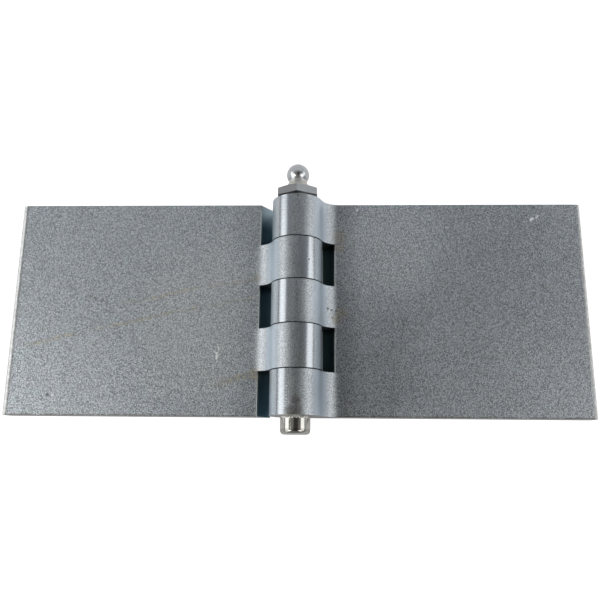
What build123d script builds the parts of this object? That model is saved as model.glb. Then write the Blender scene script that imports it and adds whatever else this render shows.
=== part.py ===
from build123d import *
import os
from math import atan2, cos, degrees, pi, radians, sin, sqrt, tan

# Weld-on door hinge: two flat-backed leaves with interleaved knuckles,
# a knurled pin held in the frame leaf, and a grease nipple in the top knuckle.
# Millimetres. +Y runs along the pin towards the nipple, +Z points out of the leaves,
# and the origin is on the mounting plane, under the middle of the leaves' length of pin.

# Leaves, cut from a rolled section
LEAF_LENGTH = 60.0            # along the pin
LEAF_REACH = 80.0             # pin axis to the outer edge
LEAF_THICKNESS = 5.0
OUTER_EDGE_RADIUS = 1.5       # rolled rounding of the outer edge

# Knuckles, flush with the backs of the leaves
KNUCKLE_DIAMETER = 14.0
FRAME_KNUCKLES = 3            # the door leaf has one knuckle fewer, between these
KNUCKLE_GAP = 0.3             # axial play at each seam
ROOT_FILLET = 5.5             # knuckle to leaf top

# Notches that take the mating knuckles
NOTCH_MOUTH = 3.5             # mating knuckle's side to the notch's upper corner
NOTCH_EDGE_RADIUS = 0.5       # rounding of that corner
FOLD_CLEARANCE = 0.2          # left at the notch's foot when the leaves fold back square

# Pin
PIN_DIAMETER = 8.0
PIN_CLEARANCE = 0.05          # radial, in the knuckles' bores
PIN_TAIL = 4.8                # stands out of the bottom knuckle
PIN_TAIL_RADIUS = 1.0
PIN_LEAD_CHAMFER = 0.6        # at the end that goes in first
PIN_END_GAP = 0.6             # grease space between the pin and the nipple

# Straight knurl that locks the pin in the bottom knuckle
KNURL_TEETH = 32
KNURL_BITE = 0.12             # radial, into the bore
KNURL_ROOT_DEPTH = 0.1        # tooth roots below the pin's surface
KNURL_LENGTH = 8.0
KNURL_PROUD = 0.6             # shows below the bottom knuckle
KNURL_RUNOUT = 0.35           # sloping tooth ends

# Grease ways in the pin
GREASE_BORE_DIAMETER = 2.5
GREASE_SIDE_DIAMETER = 2.0
DRILL_POINT_ANGLE = 118.0

# Grease nipple
THREAD_DIAMETER = 10.0        # nominal, in the top knuckle
THREAD_CLEARANCE = 0.02       # radial
TAPPED_DEPTH = 7.0
NIPPLE_THREAD_REACH = 5.9     # shank's depth below the top knuckle's face
NIPPLE_SHANK_CHAMFER = 0.7
NIPPLE_UNDERCUT = 0.7         # radial depth of the thread run-out under the hexagon
NIPPLE_UNDERCUT_LENGTH = 1.6
NIPPLE_STANDOFF = 1.2         # knuckle face to the hexagon's underside
HEX_ACROSS_FLATS = 11.0
HEX_CORNER_HEIGHT = 2.0
HEX_CONE_ANGLE = 14.0         # slope of the hexagon's top
NECK_DIAMETER = 5.2
NECK_FLARE = 1.6              # neck to the hexagon's top
HEAD_DIAMETER = 6.4
HEAD_CENTRE_HEIGHT = 7.1      # above the hexagon's underside
HEAD_TIP_FLAT = 2.6           # diameter of the flat round the filling hole

# Check valve inside the nipple
FILL_HOLE_DIAMETER = 1.8
FILL_HOLE_LENGTH = 0.6
VALVE_BORE_DIAMETER = 3.5
STAKED_LIP_BORE = 2.0         # turned-in rim that holds the spring
STAKED_LIP_LENGTH = 0.5
CHECK_BALL_DIAMETER = 3.0
VALVE_CLEARANCE = 0.04        # ball to seat, ball to spring and spring to rim
SPRING_COIL_DIAMETER = 2.3    # mean
SPRING_WIRE_DIAMETER = 0.4
SPRING_TURNS = 4
SPRING_WIRE_SIDES = 6         # the round wire's facets

# Places and sizes that follow
KNUCKLE_RADIUS = KNUCKLE_DIAMETER / 2
AXIS_HEIGHT = KNUCKLE_RADIUS
LEAF_END = LEAF_LENGTH / 2
KNUCKLES = 2 * FRAME_KNUCKLES - 1
KNUCKLE_PITCH = LEAF_LENGTH / KNUCKLES
FILLET_RISE = LEAF_THICKNESS + ROOT_FILLET - AXIS_HEIGHT
FILLET_REACH = sqrt((KNUCKLE_RADIUS + ROOT_FILLET) ** 2 - FILLET_RISE ** 2)
NOTCH_TOP = KNUCKLE_RADIUS + NOTCH_MOUTH
NOTCH_FOOT = KNUCKLE_RADIUS + FOLD_CLEARANCE
PIN_RADIUS = PIN_DIAMETER / 2
BORE_RADIUS = PIN_RADIUS + PIN_CLEARANCE
PIN_LOW = -LEAF_END - PIN_TAIL
PIN_HIGH = LEAF_END - TAPPED_DEPTH - PIN_END_GAP
HEX_LOW = LEAF_END + NIPPLE_STANDOFF
HEX_CORNER_RADIUS = HEX_ACROSS_FLATS / sqrt(3)
HEX_CORNER_TOP = HEX_LOW + HEX_CORNER_HEIGHT
HEX_CONE_RISE = tan(radians(HEX_CONE_ANGLE))
SHANK_LOW = LEAF_END - NIPPLE_THREAD_REACH
SHANK_RADIUS = THREAD_DIAMETER / 2 - THREAD_CLEARANCE
NECK_RADIUS = NECK_DIAMETER / 2
HEAD_RADIUS = HEAD_DIAMETER / 2
HEAD_CENTRE = HEX_LOW + HEAD_CENTRE_HEIGHT
HEAD_TIP = HEAD_CENTRE + sqrt(HEAD_RADIUS ** 2 - (HEAD_TIP_FLAT / 2) ** 2)
VALVE_BORE_RADIUS = VALVE_BORE_DIAMETER / 2
FILL_HOLE_RADIUS = FILL_HOLE_DIAMETER / 2
SEAT_TOP = HEAD_TIP - FILL_HOLE_LENGTH
BALL_RADIUS = CHECK_BALL_DIAMETER / 2
BALL_CENTRE = SEAT_TOP + FILL_HOLE_RADIUS - (BALL_RADIUS + VALVE_CLEARANCE) * sqrt(2)
WIRE_RADIUS = SPRING_WIRE_DIAMETER / 2
COIL_RADIUS = SPRING_COIL_DIAMETER / 2
BALL_TO_WIRE = BALL_RADIUS + WIRE_RADIUS + VALVE_CLEARANCE
SPRING_HIGH = BALL_CENTRE - sqrt(BALL_TO_WIRE ** 2 - COIL_RADIUS ** 2)
SPRING_LOW = SHANK_LOW + STAKED_LIP_LENGTH + WIRE_RADIUS + VALVE_CLEARANCE
CUT_MARGIN = 1.0              # how far cutting tools run past the metal

ON_PIN_AXIS = Pos(0, 0, AXIS_HEIGHT)


def along_pin(section, low, high):
    """Extrude a section drawn in X and Z from one place on the pin to another."""
    return Pos(0, high, 0) * extrude(Plane.XZ * section, amount=high - low)


def rod(radius, low, high):
    """A round bar on the pin's axis."""
    return along_pin(Pos(0, AXIS_HEIGHT) * Circle(radius), low, high)


def turned(*edges):
    """Revolve a closed outline of radius (x) and place on the pin (y) about the pin's axis."""
    return ON_PIN_AXIS * revolve(make_face(edges), axis=Axis.Y)


def turned_points(*points):
    """Revolve a straight-sided outline about the pin's axis."""
    return turned(Polyline(*points, close=True))


def plate_outline(inner_end):
    """The leaf's section from the back at x = 0 or the notch, round its outer edge, to the top."""
    bend = OUTER_EDGE_RADIUS
    outer = LEAF_REACH - bend
    return [
        Line((inner_end, 0), (outer, 0)),
        CenterArc((outer, bend), bend, 270, 90),
        Line((LEAF_REACH, bend), (LEAF_REACH, LEAF_THICKNESS - bend)),
        CenterArc((outer, LEAF_THICKNESS - bend), bend, 0, 90),
    ]


def knuckle_section():
    """Section where the leaf carries a knuckle: the flat back runs tangent into the round."""
    fillet_angle = degrees(atan2(FILLET_RISE, FILLET_REACH))
    fillet_centre = (FILLET_REACH, LEAF_THICKNESS + ROOT_FILLET)
    return make_face(plate_outline(0) + [
        Line((LEAF_REACH - OUTER_EDGE_RADIUS, LEAF_THICKNESS), (FILLET_REACH, LEAF_THICKNESS)),
        CenterArc(fillet_centre, ROOT_FILLET, 270, fillet_angle - 90),
        CenterArc((0, AXIS_HEIGHT), KNUCKLE_RADIUS, fillet_angle, 270 - fillet_angle),
    ])


def notch_section():
    """Section where the leaf makes room for a mating knuckle: a sloped end, rounded on top."""
    slope = atan2(LEAF_THICKNESS, NOTCH_TOP - NOTCH_FOOT)
    edge = NOTCH_EDGE_RADIUS
    edge_x = NOTCH_TOP + edge * tan(slope / 2)
    round_end = (edge_x - edge * sin(slope), LEAF_THICKNESS - edge + edge * cos(slope))
    return make_face(plate_outline(NOTCH_FOOT) + [
        Line((LEAF_REACH - OUTER_EDGE_RADIUS, LEAF_THICKNESS), (edge_x, LEAF_THICKNESS)),
        CenterArc((edge_x, LEAF_THICKNESS - edge), edge, 90, degrees(slope)),
        Line(round_end, (NOTCH_FOOT, 0)),
    ])


def leaf(first_own_row):
    """A leaf on the +X side; its own knuckles are every second row from the given one."""
    solid = None
    for row in range(KNUCKLES):
        own = (row - first_own_row) % 2 == 0
        half_gap = KNUCKLE_GAP / 2 if own else -KNUCKLE_GAP / 2
        high = LEAF_END - row * KNUCKLE_PITCH
        low = high - KNUCKLE_PITCH
        high = high if row == 0 else high - half_gap
        low = low if row == KNUCKLES - 1 else low + half_gap
        section = knuckle_section() if own else notch_section()
        length = along_pin(section, low, high)
        solid = length if solid is None else solid + length
    return solid - rod(BORE_RADIUS, -LEAF_END - CUT_MARGIN, LEAF_END + CUT_MARGIN)


def frame_leaf():
    """The leaf with the outer knuckles, tapped at its top for the nipple."""
    tapped_low = LEAF_END - TAPPED_DEPTH
    return leaf(0) - rod(THREAD_DIAMETER / 2, tapped_low, LEAF_END + CUT_MARGIN)


def door_leaf():
    """The leaf whose knuckles turn between the frame leaf's."""
    return mirror(leaf(1), about=Plane.YZ)


def knurl():
    """Raised straight teeth with sloping ends, where the pin is driven into the bottom knuckle."""
    crest = BORE_RADIUS + KNURL_BITE
    root = PIN_RADIUS - KNURL_ROOT_DEPTH
    low = -LEAF_END - KNURL_PROUD
    high = low + KNURL_LENGTH
    step = pi / KNURL_TEETH
    points = []
    for corner in range(2 * KNURL_TEETH):
        radius = crest if corner % 2 == 0 else root
        points.append((radius * sin(corner * step), radius * cos(corner * step)))
    teeth = along_pin(Pos(0, AXIS_HEIGHT) * make_face(Polyline(*points, close=True)), low, high)
    ends = turned_points(
        (0, low),
        (root, low),
        (crest, low + KNURL_RUNOUT),
        (crest, high - KNURL_RUNOUT),
        (root, high),
        (0, high),
    )
    return teeth & ends


def grease_ways():
    """The drilling down the pin's middle and the side holes that feed the door leaf's knuckles."""
    door_rows = [LEAF_END - (row + 0.5) * KNUCKLE_PITCH for row in range(1, KNUCKLES, 2)]
    radius = GREASE_BORE_DIAMETER / 2
    bottom = min(door_rows) - GREASE_SIDE_DIAMETER
    point = bottom - radius / tan(radians(DRILL_POINT_ANGLE / 2))
    ways = turned_points(
        (0, point),
        (radius, bottom),
        (radius, PIN_HIGH + CUT_MARGIN),
        (0, PIN_HIGH + CUT_MARGIN),
    )
    side_length = PIN_RADIUS + CUT_MARGIN
    for place in door_rows:
        side_hole = Cylinder(GREASE_SIDE_DIAMETER / 2, side_length)
        ways += Pos(side_length / 2, place, AXIS_HEIGHT) * Rot(0, 90, 0) * side_hole
    return ways


def hinge_pin():
    """Turned pin with a rounded tail, knurled near it and drilled from its other end."""
    pin = rod(PIN_RADIUS, PIN_LOW, PIN_HIGH)
    ends = pin.edges().filter_by(GeomType.CIRCLE).sort_by(Axis.Y)
    pin = fillet(ends[0], PIN_TAIL_RADIUS)
    ends = pin.edges().filter_by(GeomType.CIRCLE).sort_by(Axis.Y)
    pin = chamfer(ends[-1], PIN_LEAD_CHAMFER)
    return pin + knurl() - grease_ways()


def nipple_hexagon():
    """Spanner hexagon with a corner towards +Z and a coned top."""
    section = RegularPolygon(HEX_ACROSS_FLATS / 2, 6, major_radius=False, rotation=30)
    cone_top = HEX_CORNER_TOP + HEX_CORNER_RADIUS * HEX_CONE_RISE
    prism = along_pin(Pos(0, AXIS_HEIGHT) * section, HEX_LOW, cone_top)
    wide = HEX_CORNER_RADIUS + CUT_MARGIN
    wide_top = HEX_CORNER_TOP - CUT_MARGIN * HEX_CONE_RISE
    return prism & turned_points((0, HEX_LOW), (wide, HEX_LOW), (wide, wide_top), (0, cone_top))


def nipple_stem():
    """Threaded shank below the hexagon, and the neck and ball head above it."""
    neck_top = HEAD_CENTRE - sqrt(HEAD_RADIUS ** 2 - NECK_RADIUS ** 2)
    head_low_angle = degrees(atan2(neck_top - HEAD_CENTRE, NECK_RADIUS))
    head_high_angle = degrees(atan2(HEAD_TIP - HEAD_CENTRE, HEAD_TIP_FLAT / 2))
    undercut_radius = SHANK_RADIUS - NIPPLE_UNDERCUT
    undercut_low = HEX_LOW - NIPPLE_UNDERCUT_LENGTH
    shank = Polyline(
        (0, HEAD_TIP),
        (0, SHANK_LOW),
        (SHANK_RADIUS - NIPPLE_SHANK_CHAMFER, SHANK_LOW),
        (SHANK_RADIUS, SHANK_LOW + NIPPLE_SHANK_CHAMFER),
        (SHANK_RADIUS, undercut_low - NIPPLE_UNDERCUT),
        (undercut_radius, undercut_low),
        (undercut_radius, HEX_LOW + HEX_CORNER_HEIGHT / 2),
        (NECK_RADIUS, HEX_LOW + HEX_CORNER_HEIGHT / 2),
        (NECK_RADIUS, neck_top),
    )
    head = CenterArc((0, HEAD_CENTRE), HEAD_RADIUS, head_low_angle, head_high_angle - head_low_angle)
    tip = Line((HEAD_TIP_FLAT / 2, HEAD_TIP), (0, HEAD_TIP))
    return turned(*shank.edges(), head, tip)


def valve_space():
    """The nipple's bore: filling hole, coned ball seat, spring bore and the staked rim."""
    seat_low = SEAT_TOP - (VALVE_BORE_RADIUS - FILL_HOLE_RADIUS)
    lip_top = SHANK_LOW + STAKED_LIP_LENGTH
    return turned_points(
        (0, HEAD_TIP + CUT_MARGIN),
        (FILL_HOLE_RADIUS, HEAD_TIP + CUT_MARGIN),
        (FILL_HOLE_RADIUS, SEAT_TOP),
        (VALVE_BORE_RADIUS, seat_low),
        (VALVE_BORE_RADIUS, lip_top),
        (STAKED_LIP_BORE / 2, lip_top),
        (STAKED_LIP_BORE / 2, SHANK_LOW - CUT_MARGIN),
        (0, SHANK_LOW - CUT_MARGIN),
    )


def grease_nipple():
    """The nipple's body, turned from hexagon bar in one piece."""
    body = nipple_stem() + nipple_hexagon()
    neck_root = HEX_CORNER_TOP + (HEX_CORNER_RADIUS - NECK_RADIUS) * HEX_CONE_RISE
    roots = [
        edge for edge in body.edges().filter_by(GeomType.CIRCLE)
        if abs(edge.radius - NECK_RADIUS) < NECK_FLARE / 10
        and abs(edge.center().Y - neck_root) < NECK_FLARE / 10
    ]
    return chamfer(roots, NECK_FLARE) - valve_space()


def check_ball():
    """The valve's ball, closed against its seat."""
    return Pos(0, BALL_CENTRE, AXIS_HEIGHT) * Sphere(BALL_RADIUS)


def valve_spring():
    """Open-ended compression spring between the staked rim and the ball."""
    length = SPRING_HIGH - SPRING_LOW
    path = Helix(length / SPRING_TURNS, length, COIL_RADIUS)
    section = Plane(origin=path @ 0, z_dir=path % 0) * RegularPolygon(WIRE_RADIUS, SPRING_WIRE_SIDES)
    upright = sweep(section, path=path, is_frenet=True)
    return Pos(0, SPRING_LOW, AXIS_HEIGHT) * Rot(-90, 0, 0) * upright


pieces = {
    "frame_leaf": frame_leaf(),
    "door_leaf": door_leaf(),
    "hinge_pin": hinge_pin(),
    "grease_nipple": grease_nipple(),
    "check_ball": check_ball(),
    "valve_spring": valve_spring(),
}

os.makedirs("parts", exist_ok=True)
for name, shape in pieces.items():
    export_step(shape, f"parts/{name}.step")
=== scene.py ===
import math

import bmesh
import bpy
from mathutils import Matrix, Vector


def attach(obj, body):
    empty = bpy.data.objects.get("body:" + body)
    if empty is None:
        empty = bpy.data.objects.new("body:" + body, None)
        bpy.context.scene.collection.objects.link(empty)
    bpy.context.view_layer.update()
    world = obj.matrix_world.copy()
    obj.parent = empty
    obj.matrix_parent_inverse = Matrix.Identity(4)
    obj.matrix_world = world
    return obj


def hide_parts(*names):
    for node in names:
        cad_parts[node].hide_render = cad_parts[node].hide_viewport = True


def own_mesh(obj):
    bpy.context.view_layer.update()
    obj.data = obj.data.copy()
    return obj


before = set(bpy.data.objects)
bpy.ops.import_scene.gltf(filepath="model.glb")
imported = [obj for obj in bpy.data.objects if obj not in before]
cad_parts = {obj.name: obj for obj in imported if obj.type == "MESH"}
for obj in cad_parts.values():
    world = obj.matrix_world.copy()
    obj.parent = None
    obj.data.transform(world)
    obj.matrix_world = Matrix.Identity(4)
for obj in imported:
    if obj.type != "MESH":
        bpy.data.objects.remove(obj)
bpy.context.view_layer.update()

# Sizes in metres, in the frame of the hinge: +Y along the pin towards the nipple, +Z out of the leaves
MM = 0.001
LEAF_TOP = 5 * MM
LEAF_END = 30 * MM
LEAF_START = 12 * MM
LEAF_REACH = 80 * MM
KNUCKLE_RADIUS = 7 * MM
AXIS_HEIGHT = KNUCKLE_RADIUS
KNUCKLE_TOP = AXIS_HEIGHT + KNUCKLE_RADIUS
KNURL_TEETH = 32
HEX_TOP = 34.1 * MM
NECK_TOP = 36.4 * MM
WELD_DISTANCE = 0.001 * MM

# Depth of each finish's relief
LEAF_RELIEF = 0.072 * MM
PIN_RELIEF = 0.1 * MM
NIPPLE_RELIEF = 0.04 * MM
VALVE_RELIEF = 0.01 * MM

# Camera, worked out from the photograph's outline
IMAGE_SIDE = 600
FOCAL_PIXELS = 692.86
CAMERA_PLACE = Vector((7.554 * MM, -43.248 * MM, 186.625 * MM + LEAF_TOP))
CAMERA_PITCH = -0.2380
CAMERA_YAW = -0.0348
CAMERA_ROLL = -0.0021
SENSOR_WIDTH = 36.0
CLIP_NEAR = 5 * MM
CLIP_FAR = 20

# Studio
WHITE = (1, 1, 1, 1)
BLACK = (0, 0, 0, 1)
FLOOR_SIDE = 6.0
FLOOR_PAPER = ((0.86, 0.86, 0.86, 1), (0.88, 0.88, 0.88, 1))
FLOOR_MOTTLE = 0.2
FLOOR_ROUGHNESS = 0.9
FLOOR_GLOW_SEEN = 0.8
FLOOR_GLOW_MIRRORED = 0.15
SKY_ZENITH = (0.04, 0.037, 0.035, 1)
SKY_OVERHEAD_LEFT = (0.20, 0.197, 0.19, 1)
SKY_OVERHEAD_RIGHT = (0.145, 0.142, 0.138, 1)
SKY_HORIZON = (0.25, 0.27, 0.30, 1)
SKY_BACKDROP = (0.55, 0.57, 0.60, 1)
DARK_PATCH = Vector((0.12, -0.08, 0.99)).normalized()
BACKDROP_SLOPE = 0.6

# Colours of the leaves; a pair goes from dark to pale, and the front's are scaled by the leaf's tone, whose
# lower value on the frame leaf is painted shade
FRONT_DARK = (0.33, 0.36, 0.38, 1)
FRONT_BLUISH = (1.01, 1.04, 1.10, 1)
FRONT_GREENISH = (0.99, 1.06, 1.07, 1)
FILLET_ZINC = ((0.39, 0.415, 0.43, 1), (0.75, 0.785, 0.80, 1))
STEEP_REFLECTION = (0.76, 0.84, 0.91, 1)
MACHINED_STEEL = ((0.50, 0.53, 0.55, 1), (0.64, 0.67, 0.69, 1))
KNUCKLE_SIDE_HIGHLIGHT = (0.58, 0.66, 0.71, 1)
OPEN_NOTCH_REFLECTION = (0.58, 0.72, 0.80, 1)
NOTCH_EDGE_HIGHLIGHT = (0.92, 0.88, 0.80, 1)
RIM_REFLECTION = ((0.80, 0.78, 0.74, 1), (0.97, 0.96, 0.94, 1))
SHEARED_END = ((0.25, 0.23, 0.20, 1), (0.36, 0.355, 0.345, 1))
GROOVE_DARK = (0.19, 0.16, 0.12, 1)
BURR = (0.13, 0.10, 0.07, 1)
KNUCKLE_END_SHADE = (0.07, 0.085, 0.09, 1)
TINT = (0.52, 0.43, 0.28, 1)
STAIN = (0.12, 0.10, 0.08, 1)
RUN = (0.84, 0.75, 0.52, 1)
SMUDGE = (0.12, 0.12, 0.12, 1)
PIT = (0.10, 0.11, 0.12, 1)
NICK = (0.98, 0.98, 0.96, 1)

# How much light the painted shade takes off the knuckles' crowns and off a shaded patch, and how rough
# machined plating is
CROWN_LOSS = 0.24
SHADED_PATCH_LOSS = 0.17
MACHINED_ROUGHNESS = 0.21

# Colours of the pin, the nipple and the valve
PIN_STEEL = ((0.60, 0.57, 0.51, 1), (0.78, 0.76, 0.71, 1))
PIN_TAIL_SHADE = (0.30, 0.28, 0.24, 1)
NIPPLE_HEAD = ((0.56, 0.56, 0.56, 1), (0.76, 0.77, 0.77, 1))
NIPPLE_FLATS = ((0.21, 0.21, 0.215, 1), (0.34, 0.34, 0.34, 1))
NIPPLE_LIT_FLATS = ((0.38, 0.39, 0.39, 1), (0.56, 0.57, 0.57, 1))
NECK_STAIN = (0.80, 0.77, 0.68, 1)
BALL_STEEL = (0.66, 0.66, 0.67, 1)
SPRING_STEEL = (0.5, 0.5, 0.52, 1)

# What the leaves differ in; a mark is a place and its reach, a run its start, end and width, in millimetres
FRAME_LOOK = {
    "free_side": -1.0,
    "tone": 0.775,
    "corner_shade": 0.32,
    "notch_shade": (0.04, 0.085, 0.095, 1),
    "rim_width": 1.0 * MM,
    "lit_patch": ((25, 17, 5), 23),
    "lit_patch_gain": 0.26,
    "shaded_patch": ((17, -19, 5), 26),
    "tints": [
        ((11.6, 20.2, 5), 3.2), ((12.0, 17.2, 5), 2.2),
        ((10.8, -3.4, 5), 2.4), ((12.4, -1.6, 5), 2.2),
    ],
    "stains": [((-1.0, -29.2, 14), 2.2), ((0.9, -29.0, 14), 2.4), ((0.4, -26.5, 14), 1.8)],
    "runs": [],
    "smudges": [
        ((67.3, 6.4, 5), 1.2), ((75.4, 9.6, 5), 0.8), ((74.4, 13.9, 5), 0.7),
        ((29.7, -4.2, 5), 1.5), ((74.5, -5.1, 5), 0.7), ((72.2, -22.4, 5), 0.8),
    ],
    "pits": [
        ((8.6, -0.7, 6.2), 0.5), ((9.45, -0.9, 5.5), 0.5), ((9.7, -3.1, 5.2), 0.55),
        ((10.8, -1.1, 5), 0.5), ((0.3, 29.2, 14), 0.45),
    ],
    "nicks": [
        ((65.8, 25.4, 5), 0.5), ((66.3, 25.8, 5), 0.45), ((67.3, 26.1, 5), 0.3),
        ((67.7, 26.5, 5), 0.3), ((41.9, 23.2, 5), 0.4), ((17.0, 28.5, 5), 0.4),
    ],
}
DOOR_LOOK = {
    "free_side": 1.0,
    "tone": 0.905,
    "corner_shade": 0.20,
    "notch_shade": (0.09, 0.18, 0.24, 1),
    "rim_width": 1.5 * MM,
    "lit_patch": ((-20, -1, 5), 30),
    "lit_patch_gain": 0.2,
    "shaded_patch": None,
    "tints": [((-11.0, -18.6, 5), 2.6), ((-10.9, 8.3, 5), 1.8)],
    "stains": [],
    "runs": [
        ((-10.8, 8.1), (-28.6, 5.2), 0.7), ((-26.6, 5.5), (-54, -0.4), 0.9),
        ((-10.2, -18.0), (-25.0, -22.6), 1.5), ((-10.6, 3.1), (-28.3, -0.5), 0.7),
        ((-26.3, 0), (-62.8, -8.1), 0.9), ((-60, -7.4), (-78, -11.7), 0.9),
    ],
    "smudges": [
        ((-64.0, 21.7, 5), 1.6), ((-58.7, 2.8, 5), 1.2),
        ((-56.5, 2.3, 5), 1.0), ((-54.0, 1.9, 5), 1.3),
    ],
    "pits": [((-67.6, -24.6, 5), 0.75), ((3.4, 11.5, 13.2), 0.4)],
    "nicks": [
        ((-66.2, -24.7, 5), 0.55), ((-21.55, -10.6, 5), 0.35), ((-21.4, -11.3, 5), 0.4),
        ((-21.2, -11.9, 5), 0.35), ((-22.3, -12.6, 5), 0.3), ((-21.8, -13.0, 5), 0.45),
        ((-21.85, -13.7, 5), 0.5), ((-21.9, -14.4, 5), 0.4),
    ],
}


class Shade:
    """A socket of one material's nodes, so that shader maths reads as plain expressions."""

    def __init__(self, tree, socket):
        self.tree = tree
        self.socket = socket

    def node(self, kind, settings=None, output=0, **inputs):
        """Add a node: its settings first, then the values or links of its sockets, by name or as slot_N."""
        made = self.tree.nodes.new(kind)
        for name, value in (settings or {}).items():
            setattr(made, name, value)
        for name, value in inputs.items():
            key = int(name.removeprefix("slot_")) if name.startswith("slot_") else name.replace("_", " ")
            fill(self.tree, made.inputs[key], value)
        return Shade(self.tree, made.outputs[output])

    def maths(self, operation, *values):
        """A number worked out from one or two values."""
        settings = {"operation": operation}
        inputs = {f"slot_{index}": value for index, value in enumerate(values)}
        return self.node("ShaderNodeMath", settings, **inputs)

    def __add__(self, other):
        return self.maths("ADD", self, other)

    def __sub__(self, other):
        return self.maths("SUBTRACT", self, other)

    def __mul__(self, other):
        return self.maths("MULTIPLY", self, other)

    def __neg__(self):
        return self.maths("MULTIPLY", self, -1.0)

    def __rsub__(self, other):
        return self.maths("SUBTRACT", other, self)

    def __or__(self, other):
        return self.maths("MAXIMUM", self, other)

    __radd__ = __add__
    __rmul__ = __mul__

    def size(self):
        """The number without its sign."""
        return self.maths("ABSOLUTE", self)

    def between(self, low, high):
        """Smooth step from 0 at low to 1 at high."""
        settings = {"interpolation_type": "SMOOTHSTEP"}
        return self.node("ShaderNodeMapRange", settings, Value=self, From_Min=low, From_Max=high)

    def blend(self, low, high):
        """Mix two colours by this value; the mix node's sockets share names, so they go by number."""
        settings = {"data_type": "RGBA"}
        return self.node("ShaderNodeMix", settings, 2, slot_0=self, slot_6=low, slot_7=high)

    def vector(self, operation, other, output="Vector"):
        """Vector maths with another vector; the output Value holds a number."""
        settings = {"operation": operation}
        return self.node("ShaderNodeVectorMath", settings, output, slot_0=self, slot_1=other)

    def parts(self):
        """The three numbers of a vector."""
        split = self.node("ShaderNodeSeparateXYZ", Vector=self)
        outputs = split.socket.node.outputs
        return [Shade(self.tree, outputs[axis]) for axis in "XYZ"]

    def ray(self, kind):
        """1 for light rays of one kind, by the name of its output."""
        return self.node("ShaderNodeLightPath", output=kind)


def fill(tree, socket, value):
    """Link a shade to a socket, or set the socket's own value."""
    if isinstance(value, Shade):
        tree.links.new(value.socket, socket)
    else:
        socket.default_value = value


def any_of(masks):
    """The largest of several masks."""
    result = masks[0]
    for mask in masks[1:]:
        result = result | mask
    return result


def toned(colour, tone):
    """A colour made lighter or darker."""
    return tuple(part * tone for part in colour[:3]) + (1,)


class Finish:
    """A material with one Principled shader, and the colour that is laid on it so far."""

    def __init__(self, name):
        self.material = bpy.data.materials.new(name)
        self.material.use_nodes = True
        self.tree = self.material.node_tree
        self.shader = self.tree.nodes["Principled BSDF"]
        coordinates = self.tree.nodes.new("ShaderNodeTexCoord")
        self.place = Shade(self.tree, coordinates.outputs["Object"])
        self.facing = Shade(self.tree, coordinates.outputs["Normal"])
        self.across, self.along, self.out = self.place.parts()
        self.colour = None

    def set(self, **inputs):
        """Set or link inputs of the shader."""
        for name, value in inputs.items():
            fill(self.tree, self.shader.inputs[name.replace("_", " ")], value)

    def paint(self, mask, colour, strength=1.0):
        """Lay a colour over the present one where the mask is 1."""
        self.colour = (mask * strength).blend(self.colour, colour)

    def dim(self, level):
        """Multiply the present colour by a number."""
        self.colour = self.colour.vector("MULTIPLY", level)

    def grain(self, size, stretch=(1, 1, 1), detail=2.0, roughness=0.5):
        """Noise whose lumps are about the given size, in metres."""
        scale = tuple(part / size for part in stretch)
        spread = self.place.node("ShaderNodeMapping", Vector=self.place, Scale=scale)
        return spread.node(
            "ShaderNodeTexNoise", Vector=spread, Scale=1.0, Detail=detail, Roughness=roughness)

    def spot(self, point, reach, ragged):
        """1 at a point in millimetres, 0 beyond its reach; the ragged noise breaks up its edge."""
        centre = tuple(part * MM for part in point)
        gap = self.place.vector("DISTANCE", centre, "Value")
        uneven = gap + (ragged - 0.5) * (reach * MM)
        return 1 - uneven.between(reach * 0.3 * MM, reach * MM)

    def spots(self, marks, ragged):
        """Several spots in one mask."""
        return any_of([self.spot(point, reach, ragged) for point, reach in marks])

    def streak(self, start, end, width, ragged):
        """1 along a line in the leaf's plane between two points in millimetres, 0 beside it."""
        first = Vector((start[0], start[1], 0)) * MM
        run = Vector((end[0], end[1], 0)) * MM - first
        ahead = run.normalized()
        beside = Vector((-ahead.y, ahead.x, 0))
        offset = self.place.vector("SUBTRACT", tuple(first))
        along = offset.vector("DOT_PRODUCT", tuple(ahead), "Value")
        across = offset.vector("DOT_PRODUCT", tuple(beside), "Value")
        across = across + (ragged - 0.5) * (width * 2 * MM)
        ends = along.between(0, 2 * MM) * (1 - along.between(run.length * 0.6, run.length))
        return ends * (1 - across.size().between(width * 0.2 * MM, width * MM))

    def relief(self, height, depth, strength=1.0):
        """Bump the surface by a height from 0 to 1 over the given depth, in metres."""
        bump = height.node("ShaderNodeBump", Height=height, Distance=depth, Strength=strength)
        self.set(Normal=bump)


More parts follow.
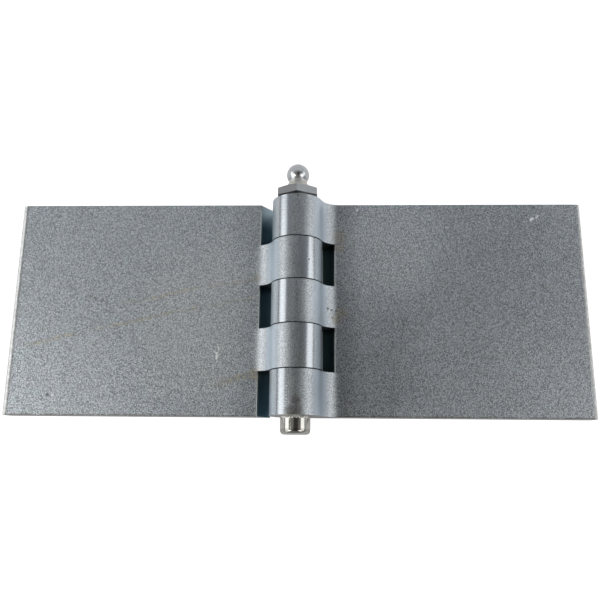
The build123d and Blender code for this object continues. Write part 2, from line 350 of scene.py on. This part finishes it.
class LeafFinish(Finish):
    """A leaf's zinc over its rolled skin; the notches and the knuckles' free sides are machined."""

    def __init__(self, name, look):
        super().__init__(name)
        self.look = look
        self.from_axis = self.across.size()
        self.add_noises()
        self.add_faces()
        self.add_rim()

    def add_noises(self):
        """Noises of the skin and of its wear, and how pale the skin is, with more contrast to the low end."""
        self.skin = self.grain(0.19 * MM, stretch=(1, 0.6, 1), roughness=0.7)
        self.tool_marks = self.grain(0.4 * MM, stretch=(0.35, 1, 0.35), detail=3.0)
        self.ragged = self.grain(0.9 * MM)
        self.cloud = self.grain(13 * MM, detail=4.0)
        near_low_end = 1 - self.along.between(-LEAF_END, LEAF_END)
        contrast = 1.5 + near_low_end * 1.2
        lumps = (self.skin.between(0.38, 0.62) - 0.5) * contrast
        self.pale = 0.5 + lumps + (self.cloud - 0.5) * 0.5

    def add_faces(self):
        """Masks of the leaf's faces, from where they lie and which way they look."""
        facing_across, facing_along, self.facing_out = self.facing.parts()
        self.free = facing_across * self.look["free_side"]
        self.machined = self.free.between(0, 0.4)
        self.rolled = 1 - self.machined
        self.knuckle_side = self.free.between(0.75, 0.95)
        near_knuckles = 1 - self.from_axis.between(LEAF_START, LEAF_START + 1 * MM)
        self.steep = (-self.free).between(0.6, 0.85) * near_knuckles
        near_front = 1 - self.out.between(LEAF_TOP, LEAF_TOP + 0.6 * MM)
        self.flat = self.facing_out.between(0.97, 0.999) * near_front
        self.sheared = facing_along.size().between(0.8, 0.95)

    def add_rim(self):
        """Masks of the outer edge, which carries a painted reflection, and of the darker line beside it."""
        edge = self.from_axis + (self.ragged - 0.5) * (0.6 * MM)
        rim_start = LEAF_REACH - self.look["rim_width"]
        self.rim = edge.between(rim_start, rim_start + 0.5 * MM)
        self.groove = edge.between(rim_start - 0.6 * MM, rim_start) * (1 - self.rim)

    def notch_walls(self):
        """Mask of the notches' walls, below the front and outside the round of the knuckles."""
        above_axis = self.out - AXIS_HEIGHT
        radius = above_axis.maths("SQRT", self.across * self.across + above_axis * above_axis)
        below_front = 1 - self.out.between(LEAF_TOP - 0.8 * MM, LEAF_TOP)
        outside = radius.between(KNUCKLE_RADIUS + 0.1 * MM, KNUCKLE_RADIUS + 0.2 * MM)
        return self.free.between(0.5, 0.7) * below_front * outside

    def notch_edges(self):
        """Mask of the edges between the notches and the front."""
        from_below = self.out.between(LEAF_TOP - 0.6 * MM, LEAF_TOP - 0.3 * MM)
        to_front = 1 - self.out.between(LEAF_TOP, LEAF_TOP + 0.3 * MM)
        sloping = self.free.between(0.05, 0.25) * (1 - self.free.between(0.6, 0.8))
        return sloping * (from_below * to_front)

    def paint_plating(self):
        """The skin: grey on the fillets, in the leaf's own tone on its front, and a pale bluish painted
        reflection on steep faces.
        """
        # Painted shade: the frame leaf's lower tone makes its front darker than the door leaf's.
        tone = self.look["tone"]
        tinge = self.grain(2.5 * MM).between(0.35, 0.65)
        front_pale = tinge.blend(toned(FRONT_BLUISH, tone), toned(FRONT_GREENISH, tone))
        front = self.pale.blend(toned(FRONT_DARK, tone), front_pale)
        self.colour = self.flat.blend(self.pale.blend(*FILLET_ZINC), front)
        # Painted reflection: pale bluish colour on the steep flanks beside the knuckles.
        self.paint(self.steep, STEEP_REFLECTION, strength=0.75)

    def paint_edges(self):
        """A darker line and a painted reflection at the outer edge, the sheared ends, and the burr along the
        low end.
        """
        patches = self.ragged.between(0.3, 0.7)
        # A darker line inside the outer edge, then a pale painted reflection of the floor on the rounded
        # edge.
        self.paint(self.groove, GROOVE_DARK, strength=0.5)
        self.paint(self.rim, patches.blend(*RIM_REFLECTION), strength=0.9)
        self.paint(self.sheared, patches.blend(*SHEARED_END), strength=0.75)
        low_end = 1 - self.along.between(-LEAF_END + 0.1 * MM, -LEAF_END + 0.5 * MM)
        burr = self.flat * self.ragged.between(0.25, 0.6) * low_end
        self.paint(burr, BURR, strength=0.7)

    def paint_machined_faces(self):
        """The machined faces: the knuckles' sides with a pale painted highlight, painted shade in the notches
        with a painted reflection at their open ends, a painted highlight along the notches' edges, and
        painted shade on the knuckles' inner ends between the knuckles.
        """
        self.paint(self.machined, self.tool_marks.blend(*MACHINED_STEEL))
        # Painted highlight: a pale bluish colour on the knuckles' outer sides.
        self.paint(self.knuckle_side, KNUCKLE_SIDE_HIGHLIGHT, strength=0.7)
        # Painted shade on the notches' walls, with a pale painted reflection towards their open ends.
        open_end = self.along.between(LEAF_END - 7.5 * MM, LEAF_END - 1 * MM)
        self.paint(self.notch_walls(), open_end.blend(self.look["notch_shade"], OPEN_NOTCH_REFLECTION))
        # Painted highlight: a pale warm line along the notches' edges.
        self.paint(self.notch_edges(), NOTCH_EDGE_HIGHLIGHT)
        # Painted shade on the knuckles' inner ends, where they face each other.
        inside = 1 - self.along.size().between(LEAF_END - 2 * MM, LEAF_END - 1 * MM)
        self.paint(self.sheared * inside, KNUCKLE_END_SHADE, strength=0.8)

    def paint_shades(self):
        """Painted shade in the corners at the feet of the fillets and on the knuckles' crowns."""
        outer = 1 - self.from_axis.between(LEAF_START - 1 * MM, LEAF_START + 8 * MM)
        inner = self.from_axis.between(LEAF_START - 1.8 * MM, LEAF_START - 0.6 * MM)
        corner = outer * inner * self.facing_out.between(0.3, 0.6)
        crown = self.out.between(KNUCKLE_TOP - 1.1 * MM, KNUCKLE_TOP - 0.2 * MM)
        self.dim(1 - corner * self.look["corner_shade"] - crown * CROWN_LOSS)

    def paint_stains(self):
        """Warm tints, stains, a broad painted highlight and a painted shaded patch, and yellowish runs in the
        plating.
        """
        look = self.look
        self.paint(self.spots(look["tints"], self.cloud) * self.pale, TINT, strength=0.45)
        if look["stains"]:
            self.paint(self.spots(look["stains"], self.ragged), STAIN, strength=0.55)
        # Painted light: a broad brighter patch on each leaf's front, and painted shade on the frame leaf's
        # shaded patch.
        level = 1 + self.spot(*look["lit_patch"], self.cloud) * self.flat * look["lit_patch_gain"]
        if look["shaded_patch"]:
            level = level - self.spot(*look["shaded_patch"], self.cloud) * SHADED_PATCH_LOSS
        self.dim(level)
        if look["runs"]:
            run = any_of([self.streak(*line, self.cloud) for line in look["runs"]])
            broken = self.pale * self.ragged.between(0.25, 0.65)
            self.paint(run * broken, RUN, strength=0.55)

    def paint_marks(self):
        """Smudges in the hollows of the grain, dark pits and bright nicks."""
        smudge = self.spots(self.look["smudges"], self.ragged)
        self.paint(smudge * (1.1 - self.pale), SMUDGE, strength=0.6)
        self.pit = self.spots(self.look["pits"], self.ragged)
        self.paint(self.pit, PIT, strength=0.8)
        self.nick = self.spots(self.look["nicks"], self.ragged)
        self.paint(self.nick.between(0.1, 0.5), NICK)

    def set_surface(self):
        """Link the colour, and make each kind of face as rough and as grainy as it is."""
        roughness = MACHINED_ROUGHNESS + self.knuckle_side * 0.21 + self.rolled * (0.11 + self.cloud * 0.04)
        roughness = roughness + self.steep * 0.1 + self.flat * 0.04 + self.rim * 0.12 + self.sheared * 0.1
        self.set(Base_Color=self.colour, Metallic=1 - self.nick * 0.8, Roughness=roughness)
        height = self.skin * (self.rolled - self.steep * 0.6) + self.tool_marks * (self.machined * 0.38)
        self.relief(height - self.pit * 1.2 - self.nick * 0.6, LEAF_RELIEF, strength=0.9)


def plated_leaf(name, look):
    """A leaf's finish, laid on from the plating to the marks."""
    leaf = LeafFinish(name, look)
    leaf.paint_plating()
    leaf.paint_edges()
    leaf.paint_machined_faces()
    leaf.paint_shades()
    leaf.paint_stains()
    leaf.paint_marks()
    leaf.set_surface()
    return leaf.material


def bright_pin():
    """Polished steel, slightly warm, with faint turning rings, rounded knurl teeth and painted shade on its
    tail.
    """
    finish = Finish("bright_pin")
    turn = finish.across.maths("ARCTAN2", finish.across, finish.out - AXIS_HEIGHT)
    tooth = 0.5 - turn.maths("COSINE", turn * KNURL_TEETH) * 0.5
    knurl = finish.along.between(-LEAF_END - 0.7 * MM, -LEAF_END - 0.5 * MM)
    rings = finish.grain(0.25 * MM, stretch=(0.02, 1, 0.02))
    smear = finish.grain(3 * MM)
    # Painted shade: the tail below the low knuckle is darker.
    tail_shade = 1 - finish.along.between(-LEAF_END - 3.8 * MM, -LEAF_END - 3.0 * MM)
    finish.colour = smear.blend(*PIN_STEEL)
    finish.paint(tail_shade, PIN_TAIL_SHADE, strength=0.6)
    finish.set(Base_Color=finish.colour, Metallic=1.0, Roughness=0.07 + smear * 0.08)
    finish.relief(rings * 0.004 + tooth * knurl, PIN_RELIEF)
    return finish.material


def plated_nipple():
    """Zinc on turned steel: a satin hexagon whose upper right flats are painted lighter as lit, a stained
    neck and a smooth ball head.
    """
    finish = Finish("plated_nipple")
    hexagon = 1 - finish.along.between(HEX_TOP - 0.3 * MM, HEX_TOP + 0.5 * MM)
    below_head = 1 - finish.along.between(NECK_TOP - 1 * MM, NECK_TOP + 0.5 * MM)
    neck = finish.along.between(HEX_TOP - 0.6 * MM, HEX_TOP) * below_head
    rings = finish.grain(0.2 * MM, stretch=(0.05, 1, 0.05))
    smear = finish.grain(0.8 * MM, detail=3.0)
    # Painted light: the hexagon's upper right flats are lighter than the others.
    right_side = finish.across.between(-0.2 * MM, 0.2 * MM)
    lit_flats = right_side * finish.out.between(AXIS_HEIGHT, AXIS_HEIGHT + 1 * MM)
    flats = lit_flats.blend(smear.blend(*NIPPLE_FLATS), smear.blend(*NIPPLE_LIT_FLATS))
    finish.colour = hexagon.blend(smear.blend(*NIPPLE_HEAD), flats)
    finish.paint(neck * smear.between(0.2, 0.6), NECK_STAIN)
    roughness = 0.19 + smear * 0.10 + hexagon * 0.21 + neck * 0.12
    finish.set(Base_Color=finish.colour, Metallic=1.0, Roughness=roughness)
    finish.relief(rings * 0.5 + smear * (0.2 + hexagon * 0.6), NIPPLE_RELIEF, strength=0.4)
    return finish.material


def valve_steel(name, pale, roughness):
    """Bare steel of the ball and the spring, with fine marks."""
    finish = Finish(name)
    marks = finish.grain(0.3 * MM, detail=3.0)
    colour = marks.blend(toned(pale, 0.8), pale)
    finish.set(Base_Color=colour, Metallic=1.0, Roughness=roughness + marks * 0.1)
    finish.relief(marks, VALVE_RELIEF, strength=0.3)
    return finish.material


def dress(node, material):
    """Give a node its finish."""
    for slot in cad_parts[node].material_slots:
        slot.material = material


def wind_spring(material):
    """The valve's spring as a piece of its own, carried by the frame."""
    coil = bmesh.new()
    coil.from_mesh(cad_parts["valve_spring"].data)
    bmesh.ops.remove_doubles(coil, verts=coil.verts, dist=WELD_DISTANCE)
    for face in coil.faces:
        face.smooth = True
    mesh = bpy.data.meshes.new("wound_spring")
    coil.to_mesh(mesh)
    coil.free()
    mesh.materials.append(material)
    spring = bpy.data.objects.new("wound_spring", mesh)
    bpy.context.scene.collection.objects.link(spring)
    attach(spring, "frame")
    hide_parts("valve_spring")
    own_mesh(spring)


def set_camera():
    """Place the camera where the photograph's was."""
    camera = bpy.data.cameras.new("photo_camera")
    camera.sensor_width = SENSOR_WIDTH
    camera.lens = FOCAL_PIXELS / IMAGE_SIDE * SENSOR_WIDTH
    camera.clip_start = CLIP_NEAR
    camera.clip_end = CLIP_FAR
    holder = bpy.data.objects.new("photo_camera", camera)
    turn = Matrix.Rotation(CAMERA_ROLL, 3, "Z")
    turn = turn @ Matrix.Rotation(CAMERA_YAW, 3, "Y") @ Matrix.Rotation(CAMERA_PITCH, 3, "X")
    holder.matrix_world = Matrix.Translation(CAMERA_PLACE) @ turn.transposed().to_4x4()
    bpy.context.scene.collection.objects.link(holder)
    bpy.context.scene.camera = holder


def floor_paper():
    """Pale paper that glows where it is seen; under and beside the knuckles it has no glow, a painted shade
    there.
    """
    finish = Finish("floor_paper")
    mottle = finish.grain(FLOOR_MOTTLE)
    beside_knuckles = finish.across.size().between(KNUCKLE_RADIUS + 1 * MM, KNUCKLE_RADIUS + 2 * MM)
    past_knuckles = finish.along.size().between(LEAF_END - 1 * MM, LEAF_END)
    seen = mottle.ray("Is Camera Ray")
    mirrored = mottle.ray("Is Glossy Ray") | mottle.ray("Is Transmission Ray")
    # Painted shade: the glow is left out under and beside the knuckles.
    glow = (seen * FLOOR_GLOW_SEEN | mirrored * FLOOR_GLOW_MIRRORED) * (beside_knuckles | past_knuckles)
    paper = mottle.blend(*FLOOR_PAPER)
    light = glow.blend(BLACK, WHITE)
    finish.set(Base_Color=paper, Roughness=FLOOR_ROUGHNESS, Emission_Color=light, Emission_Strength=1.0)
    return finish.material


def set_floor():
    """A floor under the leaves' backs."""
    sheet = bmesh.new()
    bmesh.ops.create_grid(sheet, x_segments=1, y_segments=1, size=FLOOR_SIDE / 2)
    mesh = bpy.data.meshes.new("floor")
    sheet.to_mesh(mesh)
    sheet.free()
    mesh.materials.append(floor_paper())
    floor = bpy.data.objects.new("floor", mesh)
    bpy.context.scene.collection.objects.link(floor)


def set_sky():
    """A studio dim overhead, with a pale backdrop behind the nipple; white where the camera sees it."""
    world = bpy.data.worlds.new("studio")
    bpy.context.scene.world = world
    world.use_nodes = True
    tree = world.node_tree
    coordinates = tree.nodes.new("ShaderNodeTexCoord")
    way = Shade(tree, coordinates.outputs["Generated"])
    across, along, out = way.parts()
    studio = along.between(0.3, 0.6).blend(SKY_HORIZON, SKY_BACKDROP)
    overhead = across.between(0, 0.35).blend(SKY_OVERHEAD_LEFT, SKY_OVERHEAD_RIGHT)
    studio = (out - (along | 0) * BACKDROP_SLOPE).between(0.5, 0.8).blend(studio, overhead)
    near_patch = way.vector("DOT_PRODUCT", tuple(DARK_PATCH), "Value").between(0.90, 0.98)
    studio = near_patch.blend(studio, SKY_ZENITH)
    colour = way.ray("Is Camera Ray").blend(studio, WHITE)
    fill(tree, tree.nodes["Background"].inputs["Color"], colour)


def set_softbox(name, place, aim, width, length, radiance, tilt=0):
    """A soft light at a place, facing its aim; without a tilt in degrees it is level along its length."""
    lamp = bpy.data.lights.new(name, "AREA")
    lamp.shape = "RECTANGLE"
    lamp.size = length
    lamp.size_y = width
    lamp.energy = radiance * math.pi * width * length
    holder = bpy.data.objects.new(name, lamp)
    back = (Vector(place) - Vector(aim)).normalized()
    along = Vector((0, 0, 1)).cross(back).normalized()
    up = back.cross(along)
    turn = Matrix((along, up, back)).transposed().to_4x4() @ Matrix.Rotation(math.radians(tilt), 4, "Z")
    holder.matrix_world = Matrix.Translation(place) @ turn
    bpy.context.scene.collection.objects.link(holder)


dress("frame_leaf", plated_leaf("plated_frame_leaf", FRAME_LOOK))
dress("door_leaf", plated_leaf("plated_door_leaf", DOOR_LOOK))
dress("hinge_pin", bright_pin())
dress("grease_nipple", plated_nipple())
dress("check_ball", valve_steel("hardened_ball", BALL_STEEL, roughness=0.08))
wind_spring(valve_steel("spring_wire", SPRING_STEEL, roughness=0.3))

set_camera()
set_floor()
set_sky()
set_softbox(
    "left_softbox", place=(-0.71, -0.12, 0.37), aim=(0, -0.12, 0),
    width=0.44, length=1.0, radiance=1.25)
set_softbox(
    "right_softbox", place=(0.68, -0.07, 0.43), aim=(0, -0.07, 0),
    width=0.39, length=0.94, radiance=1.07, tilt=-30)
set_softbox(
    "left_fill", place=(-0.50, -0.18, 0.63), aim=(-0.07, -0.02, 0),
    width=0.25, length=0.30, radiance=3.4)
set_softbox(
    "right_fill", place=(0.48, -0.18, 0.65), aim=(0.07, -0.02, 0),
    width=0.25, length=0.25, radiance=1.8)
bpy.context.scene.view_settings.view_transform = "Standard"
